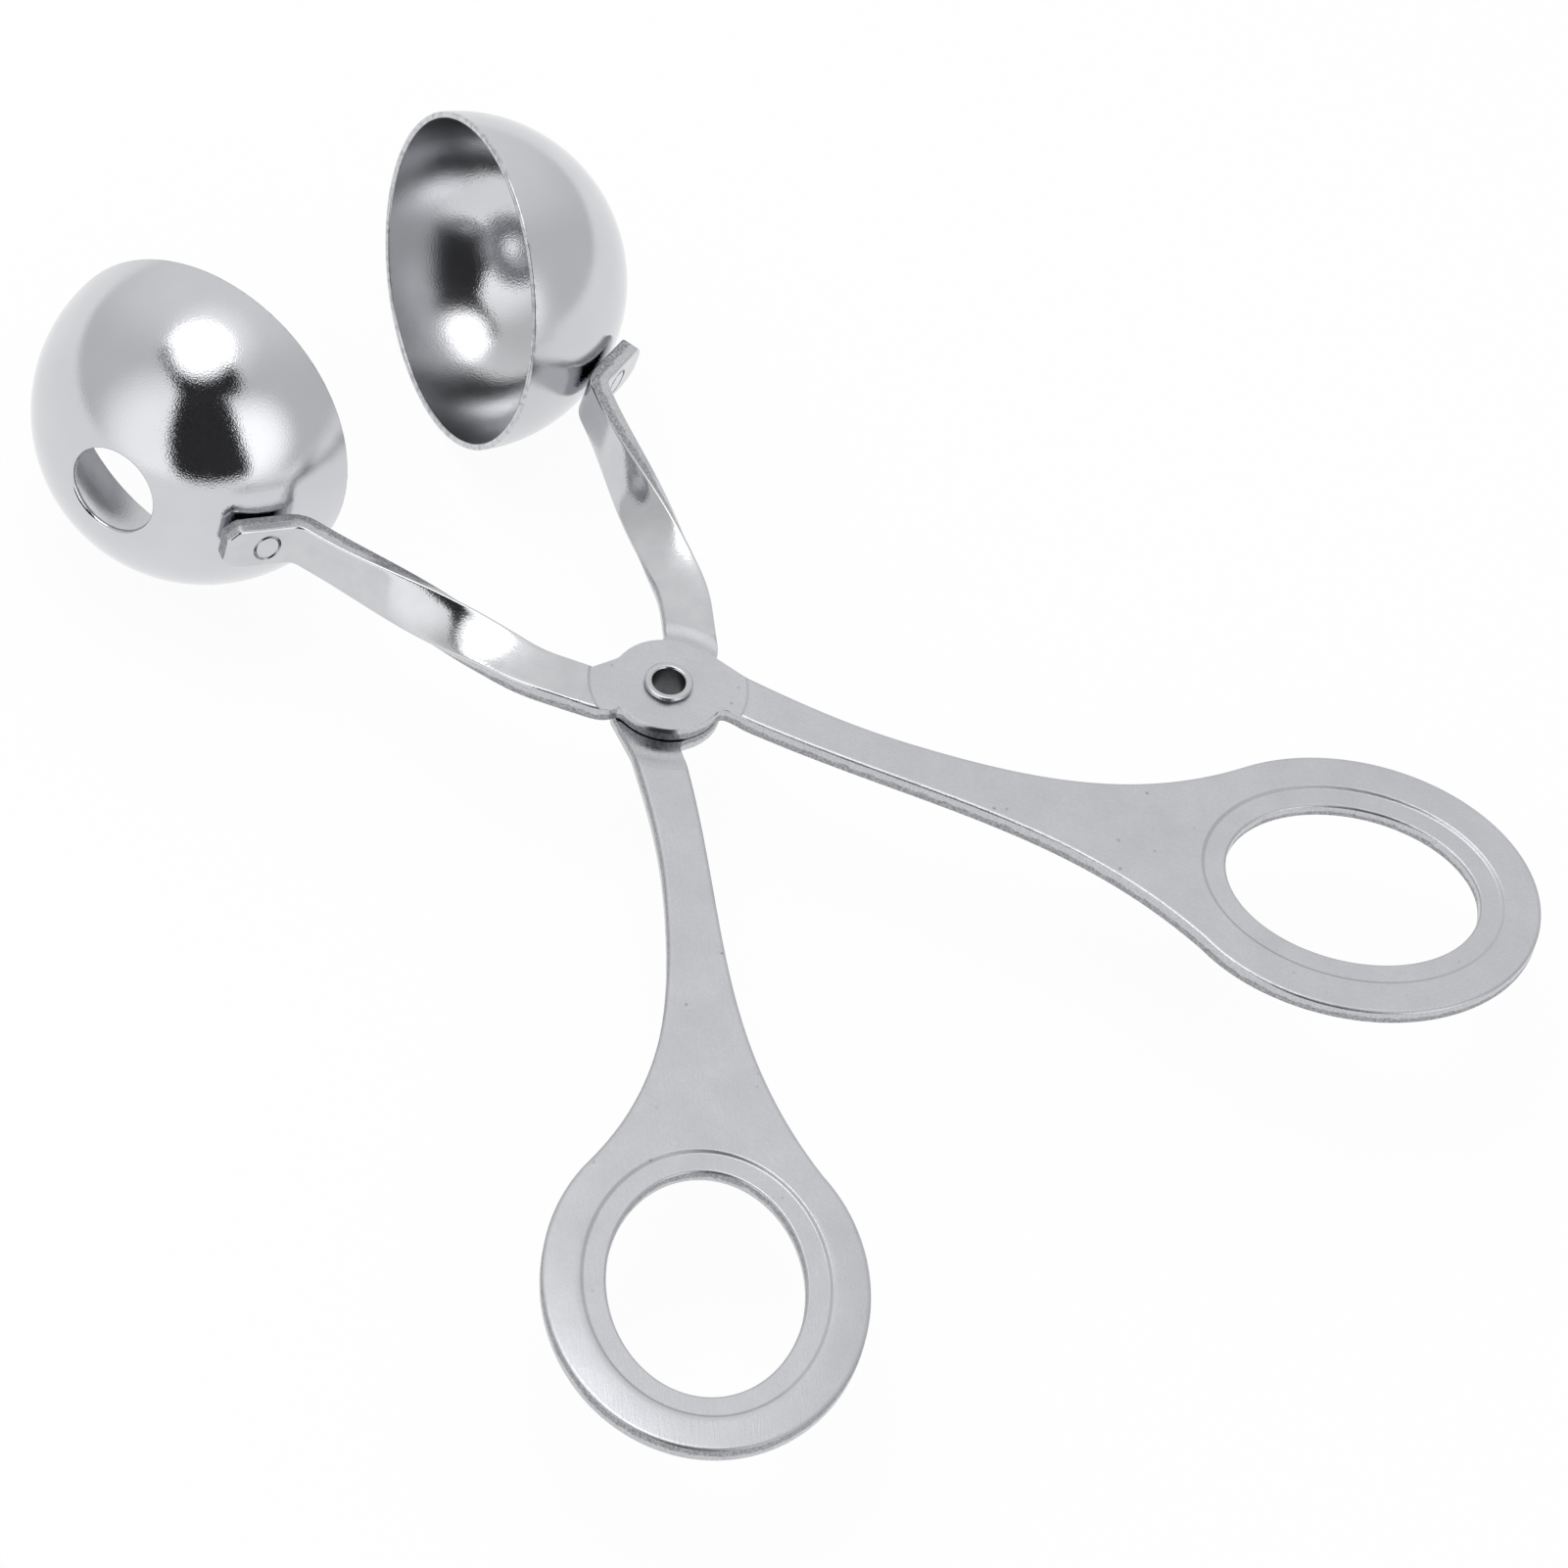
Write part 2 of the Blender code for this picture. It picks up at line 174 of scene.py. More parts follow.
def arm_outline():
    """Blanked edge of boss, handle and ring, anticlockwise from the strip's -Y edge to its +Y edge."""
    notch_radius = BOSS_RADIUS + NOTCH_STEP
    notch = direction(BOSS_FROM_STRIP - NOTCH_ARC) * notch_radius
    points = [strip_corner(-1)]
    points += curve(points[0], STRIP_HEADING - math.pi, BOSS_FROM_STRIP - math.pi, notch, 20)
    points += arc(BOSS_RADIUS, BOSS_FROM_STRIP, BOSS_TO_HANDLE, 60)
    points += curve(points[-1], BOSS_TO_HANDLE + math.pi / 2, -RIGHT_ROOT_FALL, RIGHT_ROOT, 24)
    ring_side = ring_point(RIGHT_NECK_END, RING_WIDTH)
    points += curve(RIGHT_ROOT, -RIGHT_ROOT_FALL, -RIGHT_NECK_FALL, ring_side, 160)
    round_ring = LEFT_NECK_END - RIGHT_NECK_END
    for step in range(1, 401):
        points.append(ring_point(RIGHT_NECK_END + round_ring * step / 400, RING_WIDTH))
    long, short = RING_HOLE[0] + RING_WIDTH, RING_HOLE[1] + RING_WIDTH
    heading = RING_TURN + math.atan2(short * math.cos(LEFT_NECK_END), -long * math.sin(LEFT_NECK_END))
    points += curve(points[-1], heading, math.pi, WAIST, 140)
    points += curve(WAIST, math.pi, math.pi - LEFT_ROOT_FALL, LEFT_ROOT, 80)
    points.append(direction(BOSS_FROM_HANDLE - NOTCH_ARC) * notch_radius)
    points += arc(BOSS_RADIUS, BOSS_FROM_HANDLE, BOSS_TO_STRIP, 50)
    points.append(strip_corner(1))
    return points


def eased(points, spacing, passes):
    """The same open path with even spacing and its corners worn round; both ends stay."""
    even = [points[0]]
    for start, end in zip(points, points[1:]):
        count = max(round((end - start).length / spacing), 1)
        even += [start.lerp(end, step / count) for step in range(1, count + 1)]
    kept = [even[0]]
    for point in even[1:-1]:
        if (point - kept[-1]).length > spacing * 0.7:
            kept.append(point)
    kept.append(even[-1])
    for _ in range(passes):
        inner = zip(kept, kept[1:], kept[2:])
        kept = [kept[0]] + [(a + b * 2 + c) / 4 for a, b, c in inner] + [kept[-1]]
    return kept


def inset_path(points, distances, start, end):
    """The open path moved to its left by the distances, square to start and end at its two ends."""
    moved = []
    for index, point in enumerate(points):
        before = (point - points[index - 1]).normalized() if index else start
        after = (points[index + 1] - point).normalized() if index + 1 < len(points) else end
        normal = Vector((-before.y - after.y, before.x + after.x)).normalized()
        stretch = max(normal.dot(Vector((-after.y, after.x))), 0.5)
        moved.append(point + normal * distances[index] / stretch)
    return moved


def soft(value, low, high):
    """0 at low and before it, 1 at high and past it, and a smooth rise between them."""
    share = min(max((value - low) / (high - low), 0.0), 1.0)
    return share * share * (3 - 2 * share)


def worn_edge(thickness, radius, steps):
    """Tumbled edge of the sheet from its lower face to its upper face, as (share of its width, height)."""
    lower = []
    for step in range(steps + 1):
        angle = math.pi / 2 * step / steps
        lower.append((1 - math.sin(angle), radius * (1 - math.cos(angle))))
    return lower + [(share, thickness - height) for share, height in reversed(lower)]


def ring_fall(point):
    """How far the blank's lower face falls away round the ring, where coining the band has bowed it."""
    local = Matrix.Rotation(-RING_TURN, 2) @ (point - Vector((RING_REACH, 0)))
    grow = RING_WIDTH
    for _ in range(8):
        reach = Vector((local.x / (RING_HOLE[0] + grow), local.y / (RING_HOLE[1] + grow))).length
        grow += (reach - 1) * (RING_HOLE[1] + grow)
    angle = abs(math.atan2(local.y / RING_HOLE[1], local.x / RING_HOLE[0]))
    share = min(max((grow - BAND_WIDTH) / (RING_WIDTH - BAND_WIDTH), 0.0), 1.1)
    tip = 0.5 + 0.5 * soft(angle, math.radians(5), math.radians(50))
    return RING_FALL * tip * share**1.4 * (1 - soft(angle, math.radians(85), math.radians(135)))


def bowl_frame():
    """Place of the bowl on its arm: X towards the rivet, Y up the rim, Z towards the bowl's pole."""
    inward = direction(BOWL_BEARING + math.pi).to_3d()
    pole = direction(BOWL_BEARING + math.pi / 2).to_3d() * math.cos(BOWL_LEAN)
    pole.z = math.sin(BOWL_LEAN)
    turned = Matrix((inward, pole.cross(inward), pole)).transposed().to_4x4()
    return Matrix.Translation(inward * -BOWL_REACH) @ turned


def weld_place():
    """Middle of the tab over the weld, with the tab's outward normal, its run and its width."""
    turn = bowl_frame().to_3x3()
    outward = Vector((math.cos(WELD_BEARING), 0.0, math.sin(WELD_BEARING)))
    run = Vector((-math.sin(WELD_BEARING), 0.0, math.cos(WELD_BEARING)))
    stand_off = BORE_RADIUS + BOWL_WALL + SEAT_CLEARANCE + SHEET / 2
    middle = bowl_frame() @ (outward * stand_off)
    return middle, turn @ outward, turn @ run, turn @ Vector((0.0, 1.0, 0.0))


def bent_path(corners, radii, steps, longest):
    """A path through the corners with each inner one rounded: a list of (point, run direction)."""
    path = [(corners[0], (corners[1] - corners[0]).normalized())]
    for index, radius in enumerate(radii, start=1):
        before = (corners[index] - corners[index - 1]).normalized()
        after = (corners[index + 1] - corners[index]).normalized()
        turn = before.angle(after)
        tangent = radius * math.tan(turn / 2)
        centre = corners[index] + (after - before).normalized() * math.hypot(radius, tangent)
        axis = before.cross(after).normalized()
        start = corners[index] - before * tangent
        for step in range(steps + 1):
            spin = Matrix.Rotation(turn * step / steps, 3, axis)
            path.append((centre + spin @ (start - centre), spin @ before))
    path.append((corners[-1], (corners[-1] - corners[-2]).normalized()))
    filled = [path[0]]
    for (start, _), (end, run) in zip(path, path[1:]):
        count = math.ceil((end - start).length / longest)
        filled += [(start.lerp(end, step / count), (end - start).normalized()) for step in range(1, count)]
        filled.append((end, run))
    return filled


def strip_sections():
    """Sections from the boss to the tab's end: (middle, run, width direction, half width, wear, roll)."""
    weld, _, run, width = weld_place()
    root = Vector((*STRIP_ROOT, (PLATE_BOTTOM + PLATE_TOP) / 2))
    heading = direction(STRIP_HEADING).to_3d()
    corners = [root, root + heading * BEND_REACH, weld - run * FOLD_TO_WELD, weld + run * WELD_TO_END]
    path = bent_path(corners, (BEND_RADIUS, FOLD_RADIUS), BEND_STEPS, STRIP_STEP)
    lengths = [0.0]
    for (start, _), (end, _) in zip(path, path[1:]):
        lengths.append(lengths[-1] + (end - start).length)
    twist_end = lengths[-1] - (path[-1][0] - corners[2]).length - FOLD_RADIUS
    sections = []
    for (point, tangent), length in zip(path, lengths):
        level = Vector((tangent.y, -tangent.x, 0.0)).normalized()
        raised = tangent.cross(level) * -1
        turn = math.atan2(width.dot(raised), width.dot(level)) * soft(length, TWIST_START, twist_end)
        across = level * math.cos(turn) + raised * math.sin(turn)
        if lengths[-1] - length > TAB_CHAMFER * 1.05:
            past = length - lengths[-1] + TAB_CHAMFER * 2.2
            roll = 1 + (TAB_ROLL - 1) * soft(past, 0.0, TAB_CHAMFER * 1.2)
            sections.append((point, tangent, across, STRIP_WIDTH / 2, 0.0, roll))
    end, tangent = path[-1]
    across = sections[-1][2]
    for back in (1.12, 1.0, 0.88, 0.7, 0.5, 0.3):
        half = STRIP_WIDTH / 2 - max(TAB_CHAMFER * (1 - back), 0.06 * MM if back < 1.1 else 0.0)
        sections.append((end - tangent * TAB_CHAMFER * back, tangent, across, half, 0.0, TAB_ROLL))
    for step in (1, 2, 3, 4):
        angle = math.pi / 8 * step
        back = EDGE_ROUND * (1 - math.sin(angle))
        wear = EDGE_ROUND * (1 - math.cos(angle))
        half = STRIP_WIDTH / 2 - (TAB_CHAMFER - back)
        sections.append((end - tangent * back, tangent, across, half, wear, TAB_ROLL))
    return sections


def new_loop(mesh, points, height):
    return [mesh.verts.new((point.x, point.y, height)) for point in points]


def band_profile():
    """Edge of the finger hole and its coined band, from the lower face up, as (grow, height)."""
    upper = []
    for step in range(9):
        share = step / 8
        upper.append((BAND_WIDTH - BAND_STEP * share, SHEET - BAND_DEPTH * soft(share, 0.0, 1.0)))
    floor = SHEET - BAND_DEPTH
    radius = BAND_ROUND
    for step in range(7):
        angle = math.pi / 2 * step / 6
        upper.append((radius * (1 - math.sin(angle)), floor - radius * (1 - math.cos(angle))))
    return [(grow, SHEET - height) for grow, height in upper] + list(reversed(upper))


def sheared(mesh, heights, corners, material):
    """A face of the stamping, with each corner's share of the sheet's thickness in the map of depth."""
    face = mesh.faces.new(corners)
    face.material_index = material
    for loop in face.loops:
        loop[mesh.loops.layers.uv["depth"]].uv = (0.0, heights.get(loop.vert, 0.5))


def twisted_strip(mesh, heights, levels, profile):
    """Sweeps the strip and its tab from the blank's open end; points across it carry the twist's slope."""
    wall = len(profile) // 2 - 1
    columns = [[level[-1] for level in levels], [level[0] for level in reversed(levels)]]
    flats = [[], []]
    for point, tangent, across, half, wear, roll in strip_sections()[1:]:
        raised = tangent.cross(across) * -1
        new_columns = []
        for side, order in ((1, profile), (-1, profile[::-1])):
            column = []
            for share, height in order:
                inset = share * EDGE_ROUND * (roll if height > SHEET / 2 else 1)
                squeezed = (height / SHEET - 0.5) * (SHEET - wear * 2)
                column.append(mesh.verts.new(point + across * side * (half - inset) + raised * squeezed))
                heights[column[-1]] = height / SHEET
            new_columns.append(column)
        new_flats = []
        for index in (0, 1):
            start, end = new_columns[index][-1], new_columns[index - 1][0]
            shares = [step / FACE_STEPS for step in range(1, FACE_STEPS)]
            new_flats.append([mesh.verts.new(start.co.lerp(end.co, share)) for share in shares])
            heights.update((vertex, heights[start]) for vertex in new_flats[-1])
            column = new_columns[index]
            for row in range(len(column) - 1):
                corners = (columns[index][row], columns[index][row + 1], column[row + 1], column[row])
                sheared(mesh, heights, corners, EDGE if abs(row - wall) < 3 else STRIP)
            before = [columns[index][-1], *flats[index], columns[index - 1][0]]
            after = [start, *new_flats[-1], end]
            if len(before) == len(after):
                for step in range(FACE_STEPS):
                    corners = (before[step], before[step + 1], after[step + 1], after[step])
                    sheared(mesh, heights, corners, STRIP)
            else:
                sheared(mesh, heights, (*before, *reversed(after)), STRIP)
        columns, flats = new_columns, new_flats
    face = mesh.faces.new([*columns[0], *flats[0], *columns[1], *flats[1]])
    face.material_index = EDGE


def stamped_arm():
    """The stamping as the upper arm: its rivet at the origin, its handle along +X and its top face up."""
    mesh = bmesh.new()
    mesh.loops.layers.uv.new("depth")
    profile = worn_edge(SHEET, EDGE_ROUND, EDGE_STEPS)
    outline = eased(arm_outline(), OUTLINE_STEP, 3)
    heading = direction(STRIP_HEADING)
    near_boss = [soft(BOSS_REACH - point.length, 0.0, 1.6 * MM) for point in outline]
    near_strip = [soft(-BOSS_REACH - point.x, 0.0, 2 * MM) for point in outline]
    levels = []
    heights = {}
    for share, height in profile:
        upper = height > SHEET / 2
        boss_roll = BOSS_ROLL - DIE_ROLL if upper else 0.0
        insets = []
        for boss, strip in zip(near_boss, near_strip):
            insets.append(share * (DIE_ROLL + (EDGE_ROUND - DIE_ROLL) * strip + boss_roll * boss))
        loop = new_loop(mesh, inset_path(outline, insets, heading * -1, heading), PLATE_BOTTOM + height)
        heights.update((vertex, height / SHEET) for vertex in loop)
        for vertex in loop:
            if not upper and vertex.co.x > RING_REACH - 15 * MM:
                vertex.co.z += ring_fall(vertex.co.to_2d()) * (1 - 2 * height / SHEET)
        levels.append(loop)
    wall = len(profile) // 2 - 1
    for row, (below, above) in enumerate(zip(levels, levels[1:])):
        for index in range(len(outline) - 1):
            corners = (below[index], below[index + 1], above[index + 1], above[index])
            sheared(mesh, heights, corners, EDGE if abs(row - wall) < 3 else FACE)

    hole_loops = []
    fallen = [RING_WIDTH - DIE_ROLL - FALL_SPACING * step for step in range(8)]
    for grow, height in [(grow, 0.0) for grow in fallen] + band_profile():
        points = [ring_point(math.tau * step / RING_STEPS, grow) for step in range(RING_STEPS)]
        loop = new_loop(mesh, points, PLATE_BOTTOM + height)
        heights.update((vertex, height / SHEET) for vertex in loop)
        for vertex in loop if grow > BAND_WIDTH else ():
            vertex.co.z += ring_fall(vertex.co.to_2d())
        hole_loops.append(loop)
    bore_loops = []
    for height in (PLATE_BOTTOM, PLATE_TOP):
        bore_loops.append(new_loop(mesh, arc(RIVET_HOLE_RADIUS, 0.0, math.tau, BORE_STEPS)[:-1], height))
    band_wall = len(fallen) + len(band_profile()) // 2 - 1
    for loops, middle in ((hole_loops, band_wall), (bore_loops, 0)):
        for row, (below, above) in enumerate(zip(loops, loops[1:])):
            for index in range(len(below)):
                after = (index + 1) % len(below)
                corners = (below[after], below[index], above[index], above[after])
                sheared(mesh, heights, corners, EDGE if abs(row - middle) < 3 else FACE)
    for side in (0, -1):
        edges = []
        for loop in (levels[side], hole_loops[side], bore_loops[side]):
            for index, vertex in enumerate(loop):
                pair = (loop[index - 1], vertex)
                edges.append(mesh.edges.get(pair) or mesh.edges.new(pair))
        bmesh.ops.triangle_fill(mesh, use_beauty=True, edges=edges)

    twisted_strip(mesh, heights, levels, profile)
    bmesh.ops.recalc_face_normals(mesh, faces=mesh.faces)
    data = bpy.data.meshes.new("stamped_arm")
    mesh.to_mesh(data)
    mesh.free()
    return data


def turned_solid(name, profile, steps, matrix=None, material=FACE):
    """Cutter made by turning an open profile of (radius, height), from axis to axis, round Z."""
    mesh = bmesh.new()
    rows = []
    for radius, height in profile:
        if radius < 1e-7:
            rows.append([mesh.verts.new((0.0, 0.0, height))] * steps)
        else:
            rows.append(new_loop(mesh, arc(radius, 0.0, math.tau, steps)[:-1], height))
    for below, above in zip(rows, rows[1:]):
        for step in range(steps):
            after = (step + 1) % steps
            corners = dict.fromkeys((below[step], below[after], above[after], above[step]))
            mesh.faces.new(corners).material_index = material
    bmesh.ops.recalc_face_normals(mesh, faces=mesh.faces)
    data = bpy.data.meshes.new(name)
    mesh.to_mesh(data)
    mesh.free()
    data.shade_smooth()
    data.transform(matrix or Matrix())
    return data


def shown(name, mesh):
    piece = bpy.data.objects.new(name, mesh)
    bpy.context.scene.collection.objects.link(piece)
    return piece


def applied(piece):
    """A plain mesh of the piece with its modifiers, which then takes the place of its mesh."""
    evaluated = piece.evaluated_get(bpy.context.evaluated_depsgraph_get())
    mesh = bpy.data.meshes.new_from_object(evaluated)
    piece.modifiers.clear()
    piece.data = mesh
    return mesh


def cut_and_smoothed(mesh, cutters):
    """The mesh after its cuts, with its flat faces kept flat in the shading."""
    sharp = math.radians(40)
    piece = shown(mesh.name, mesh)
    tools = [shown(cutter.name, cutter) for cutter in cutters]
    for tool in tools:
        cut = piece.modifiers.new(tool.name, "BOOLEAN")
        cut.operation = "DIFFERENCE"
        cut.solver = "EXACT"
        cut.object = tool
    mesh = applied(piece)
    for tool in tools:
        bpy.data.objects.remove(tool, do_unlink=True)
    mesh.shade_smooth()
    mesh.set_sharp_from_angle(angle=sharp)
    weighted = piece.modifiers.new("flat faces", "WEIGHTED_NORMAL")
    weighted.keep_sharp = True
    weighted.weight = 100
    mesh = applied(piece)
    bpy.data.objects.remove(piece, do_unlink=True)
    flat = {}
    for face in mesh.polygons:
        if abs(face.normal.z) > 0.99999:
            flat.update(dict.fromkeys(face.vertices, face.normal.copy()))
    normals = [corner.vector.copy() for corner in mesh.corner_normals]
    for face in mesh.polygons:
        for index in face.loop_indices:
            level = flat.get(mesh.loops[index].vertex_index)
            if level and level.dot(face.normal) > math.cos(sharp):
                normals[index] = level
    mesh.normals_split_custom_set(normals)
    return mesh


def coin(face, away, width):
    """Cutter that coins the boss from one face: flat, with a soft step up to the full thickness."""
    start = COIN_RADIUS - COIN_STEP / 2
    profile = [(0.0, face)]
    for step in range(11):
        share = step / 10
        rise = (COIN_DEPTH + 0.004 * MM) * soft(share, 0.0, 1.0)
        profile.append((start + width * share, face + away * rise))
    profile += [(start + width, face + away * SHEET), (0.0, face + away * SHEET)]
    return profile


def weld_print():
    """Cutter for the electrode's print on the tab: a shallow groove round a flat middle."""
    inner, inner_foot, outer_foot, outer = PRINT_EDGES
    face = SHEET / 2
    above = face + 0.05 * MM
    profile = [(0.0, above), (inner, above), (inner_foot, face - PRINT_DEPTH + 0.01 * MM)]
    profile += [(outer_foot, face - PRINT_DEPTH), (outer, above)]
    return profile + [(outer, face + 1 * MM), (0.0, face + 1 * MM)]


weld, outward, run, width = weld_place()
tab_place = Matrix.Translation(weld) @ Matrix((run, outward.cross(run), outward)).transposed().to_4x4()
blank = stamped_arm()


def added(tree, kind, inputs=(), **settings):
    """A new node; inputs maps socket names or numbers to values, or to sockets to link from."""
    node = tree.nodes.new(kind)
    for name, value in settings.items():
        setattr(node, name, value)
    for socket, value in dict(inputs).items():
        if isinstance(value, bpy.types.NodeSocket):
            tree.links.new(value, node.inputs[socket])
        else:
            node.inputs[socket].default_value = value
    return node


def calc(tree, operation, first, second=0.0):
    return added(tree, "ShaderNodeMath", {0: first, 1: second}, operation=operation).outputs[0]


def ranged(tree, value, low, high, out_low, out_high):
    """The value moved from one range to another, held at the ends."""
    inputs = {"Value": value, "From Min": low, "From Max": high, "To Min": out_low, "To Max": out_high}
    return added(tree, "ShaderNodeMapRange", inputs).outputs["Result"]


def mixed(tree, share, first, second):
    node = added(tree, "ShaderNodeMix", data_type="RGBA")
    for socket, value in ((0, share), (6, first), (7, second)):
        if isinstance(value, bpy.types.NodeSocket):
            tree.links.new(value, node.inputs[socket])
        else:
            node.inputs[socket].default_value = value
    return node.outputs[2]


def bare_steel(name):
    """A new material of bare metal, with its node tree, its shader and the coordinates of its piece."""
    material = bpy.data.materials.new(name)
    material.use_nodes = True
    tree = material.node_tree
    shader = tree.nodes["Principled BSDF"]
    shader.inputs["Metallic"].default_value = 1.0
    return material, tree, shader, added(tree, "ShaderNodeTexCoord").outputs["Object"]


def along_arm(tree, turn, stretch):
    """Coordinates that run along an arm, drawn out lengthwise by stretch."""
    place = added(tree, "ShaderNodeTexCoord").outputs["Object"]
    settings = {"Vector": place, "Rotation": (0.0, 0.0, turn), "Scale": (stretch, 1.0, 1.0)}
    return added(tree, "ShaderNodeMapping", settings, vector_type="TEXTURE").outputs[0]


def noise(tree, vector, size, detail=2.0):
    """Noise whose features are about size across."""
    settings = {"Vector": vector, "Scale": 1 / size, "Detail": detail}
    return added(tree, "ShaderNodeTexNoise", settings).outputs["Fac"]


def relief(tree, shader, layers):
    """Bump in layers of (height, depth in metres), each on the one before."""
    normal = None
    for height, depth in layers:
        settings = {"Height": height, "Strength": 1.0, "Distance": depth}
        if normal:
            settings["Normal"] = normal
        normal = added(tree, "ShaderNodeBump", settings).outputs[0]
    tree.links.new(normal, shader.inputs["Normal"])


def satin_face(name, turn, rough):
    """Brushed and tumbled sheet: even grey with a fine grain, faint lengthwise strokes and small pits."""
    material, tree, shader, place = bare_steel(name)
    strokes = noise(tree, along_arm(tree, turn, 11.0), 0.18 * MM)
    grain = noise(tree, place, 0.22 * MM)
    cloud = ranged(tree, noise(tree, place, 5 * MM, 3.0), 0.3, 0.7, 0.0, 1.0)
    pits = added(tree, "ShaderNodeTexVoronoi", {"Vector": place, "Scale": 420.0}, feature="F1")
    pit = ranged(tree, pits.outputs["Distance"], 0.05, 0.12, 1.0, 0.0)
    few = ranged(tree, noise(tree, place, 4 * MM, 1.0), 0.55, 0.62, 0.0, 1.0)
    pitted = calc(tree, "MULTIPLY", pit, few)
    colour = mixed(tree, cloud, (0.525, 0.535, 0.56, 1.0), (0.57, 0.58, 0.605, 1.0))
    speckled = ranged(tree, grain, 0.35, 0.65, 0.0, 0.25)
    colour = mixed(tree, speckled, colour, (0.40, 0.41, 0.43, 1.0))
    colour = mixed(tree, pitted, colour, (0.34, 0.35, 0.37, 1.0))
    tree.links.new(colour, shader.inputs["Base Color"])
    tree.links.new(ranged(tree, strokes, 0.3, 0.7, rough, rough + 0.06), shader.inputs["Roughness"])
    relief(tree, shader, ((grain, 0.008 * MM), (strokes, 0.014 * MM)))
    return material


def sheared_edge(name):
    """Blanked edge: a smooth burnished band over a torn one, which is darker and mottled."""
    material, tree, shader, place = bare_steel(name)
    depth = added(tree, "ShaderNodeUVMap", uv_map="depth").outputs[0]
    height = added(tree, "ShaderNodeSeparateXYZ", {0: depth}).outputs["Y"]
    wander = ranged(tree, noise(tree, place, 1.6 * MM), 0.3, 0.7, -0.08, 0.08)
    torn = ranged(tree, calc(tree, "ADD", height, wander), 0.46, 0.56, 1.0, 0.0)
    mottle = noise(tree, place, 0.3 * MM, 3.0)
    spots = ranged(tree, mottle, 0.36, 0.64, 0.0, 1.0)
    torn_colour = mixed(tree, spots, (0.25, 0.255, 0.265, 1.0), (0.46, 0.47, 0.49, 1.0))
    smooth_colour = mixed(tree, spots, (0.48, 0.49, 0.51, 1.0), (0.58, 0.59, 0.61, 1.0))
    tree.links.new(mixed(tree, torn, smooth_colour, torn_colour), shader.inputs["Base Color"])
    tree.links.new(ranged(tree, torn, 0.0, 1.0, 0.22, 0.4), shader.inputs["Roughness"])
    relief(tree, shader, ((calc(tree, "MULTIPLY", spots, torn), 0.02 * MM), (mottle, 0.008 * MM)))
    return material


def polished_strip(name, turn):
    """Buffed strip and tab: nearly a mirror, with a fine orange-peel grain and faint lengthwise marks."""
    material, tree, shader, place = bare_steel(name)
    marks = noise(tree, along_arm(tree, turn, 10.0), 0.2 * MM)
    grain = noise(tree, place, 0.28 * MM)
    haze = ranged(tree, noise(tree, place, 3 * MM, 3.0), 0.3, 0.7, 0.0, 1.0)
    colour = mixed(tree, haze, (0.56, 0.57, 0.59, 1.0), (0.62, 0.63, 0.645, 1.0))
    tree.links.new(colour, shader.inputs["Base Color"])
    tree.links.new(ranged(tree, haze, 0.0, 1.0, 0.08, 0.15), shader.inputs["Roughness"])
    waves = noise(tree, place, 7 * MM, 1.0)
    relief(tree, shader, ((waves, 0.1 * MM), (grain, 0.01 * MM), (marks, 0.003 * MM)))
    return material


over_boss = coin(PLATE_TOP - COIN_DEPTH, 1, COIN_STEP)
under_boss = coin(PLATE_BOTTOM + COIN_DEPTH, -1, SOFT_STEP)
print_place = tab_place @ Matrix.Diagonal((1.0, 1.15, 1.0, 1.0))
cutters = (
    turned_solid("top coin", over_boss, COIN_STEPS),
    turned_solid("bottom coin", under_boss, COIN_STEPS, material=COINED),
    turned_solid("weld print", weld_print(), 64, print_place, PRINT),
)
for name in ("face", "edge", "strip", "print", "coined face"):
    blank.materials.append(bpy.data.materials.new(name))
stamping = cut_and_smoothed(blank, cutters)

burnt, tree, shader, place = bare_steel("burnt_weld_print")
blotches = ranged(tree, noise(tree, place, 1.3 * MM, 1.0), 0.4, 0.6, 0.0, 1.0)
burnt_colour = mixed(tree, blotches, (0.10, 0.105, 0.115, 1.0), (0.42, 0.43, 0.45, 1.0))
tree.links.new(burnt_colour, shader.inputs["Base Color"])
shader.inputs["Roughness"].default_value = 0.25

upper_turn = math.radians(90) + OPENING / 2 - BOWL_BEARING
lower_turn = math.radians(90) - OPENING / 2 + BOWL_BEARING
at_pivot = Matrix.Translation(PIVOT)
arm_places = {}
for name, turn, flip in (("upper_arm", upper_turn, 0.0), ("lower_arm", lower_turn, math.pi)):
    arm_places[name] = at_pivot @ Matrix.Rotation(turn, 4, "Z") @ Matrix.Rotation(flip, 4, "X")
    mesh = stamping.copy()
    mesh.transform(arm_places[name])
    mesh.materials[FACE] = satin_face(f"{name}_face", turn, 0.29)
    mesh.materials[EDGE] = sheared_edge(f"{name}_edge")
    mesh.materials[STRIP] = polished_strip(f"{name}_strip", turn)
    mesh.materials[PRINT] = burnt
    mesh.materials[COINED] = satin_face(f"{name}_coined_face", turn, 0.14)
    arm = shown(f"{name}_stamping", mesh)
    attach(arm, name)
    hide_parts(name)

# Bowls: half balls drawn from thin stainless sheet and polished inside and out, each spot-welded to the
# tab of its arm. The one on the upper arm has a round vent punched a little off its pole, which lets the
# air out as the scoop closes.

VENT_RADIUS = 5.6 * MM
VENT_LEAN = math.radians(2.1)
VENT_BEARING = math.radians(60.0)
BOWL_EDGE_ROUND = 0.25 * MM
WALL_STEPS = 84


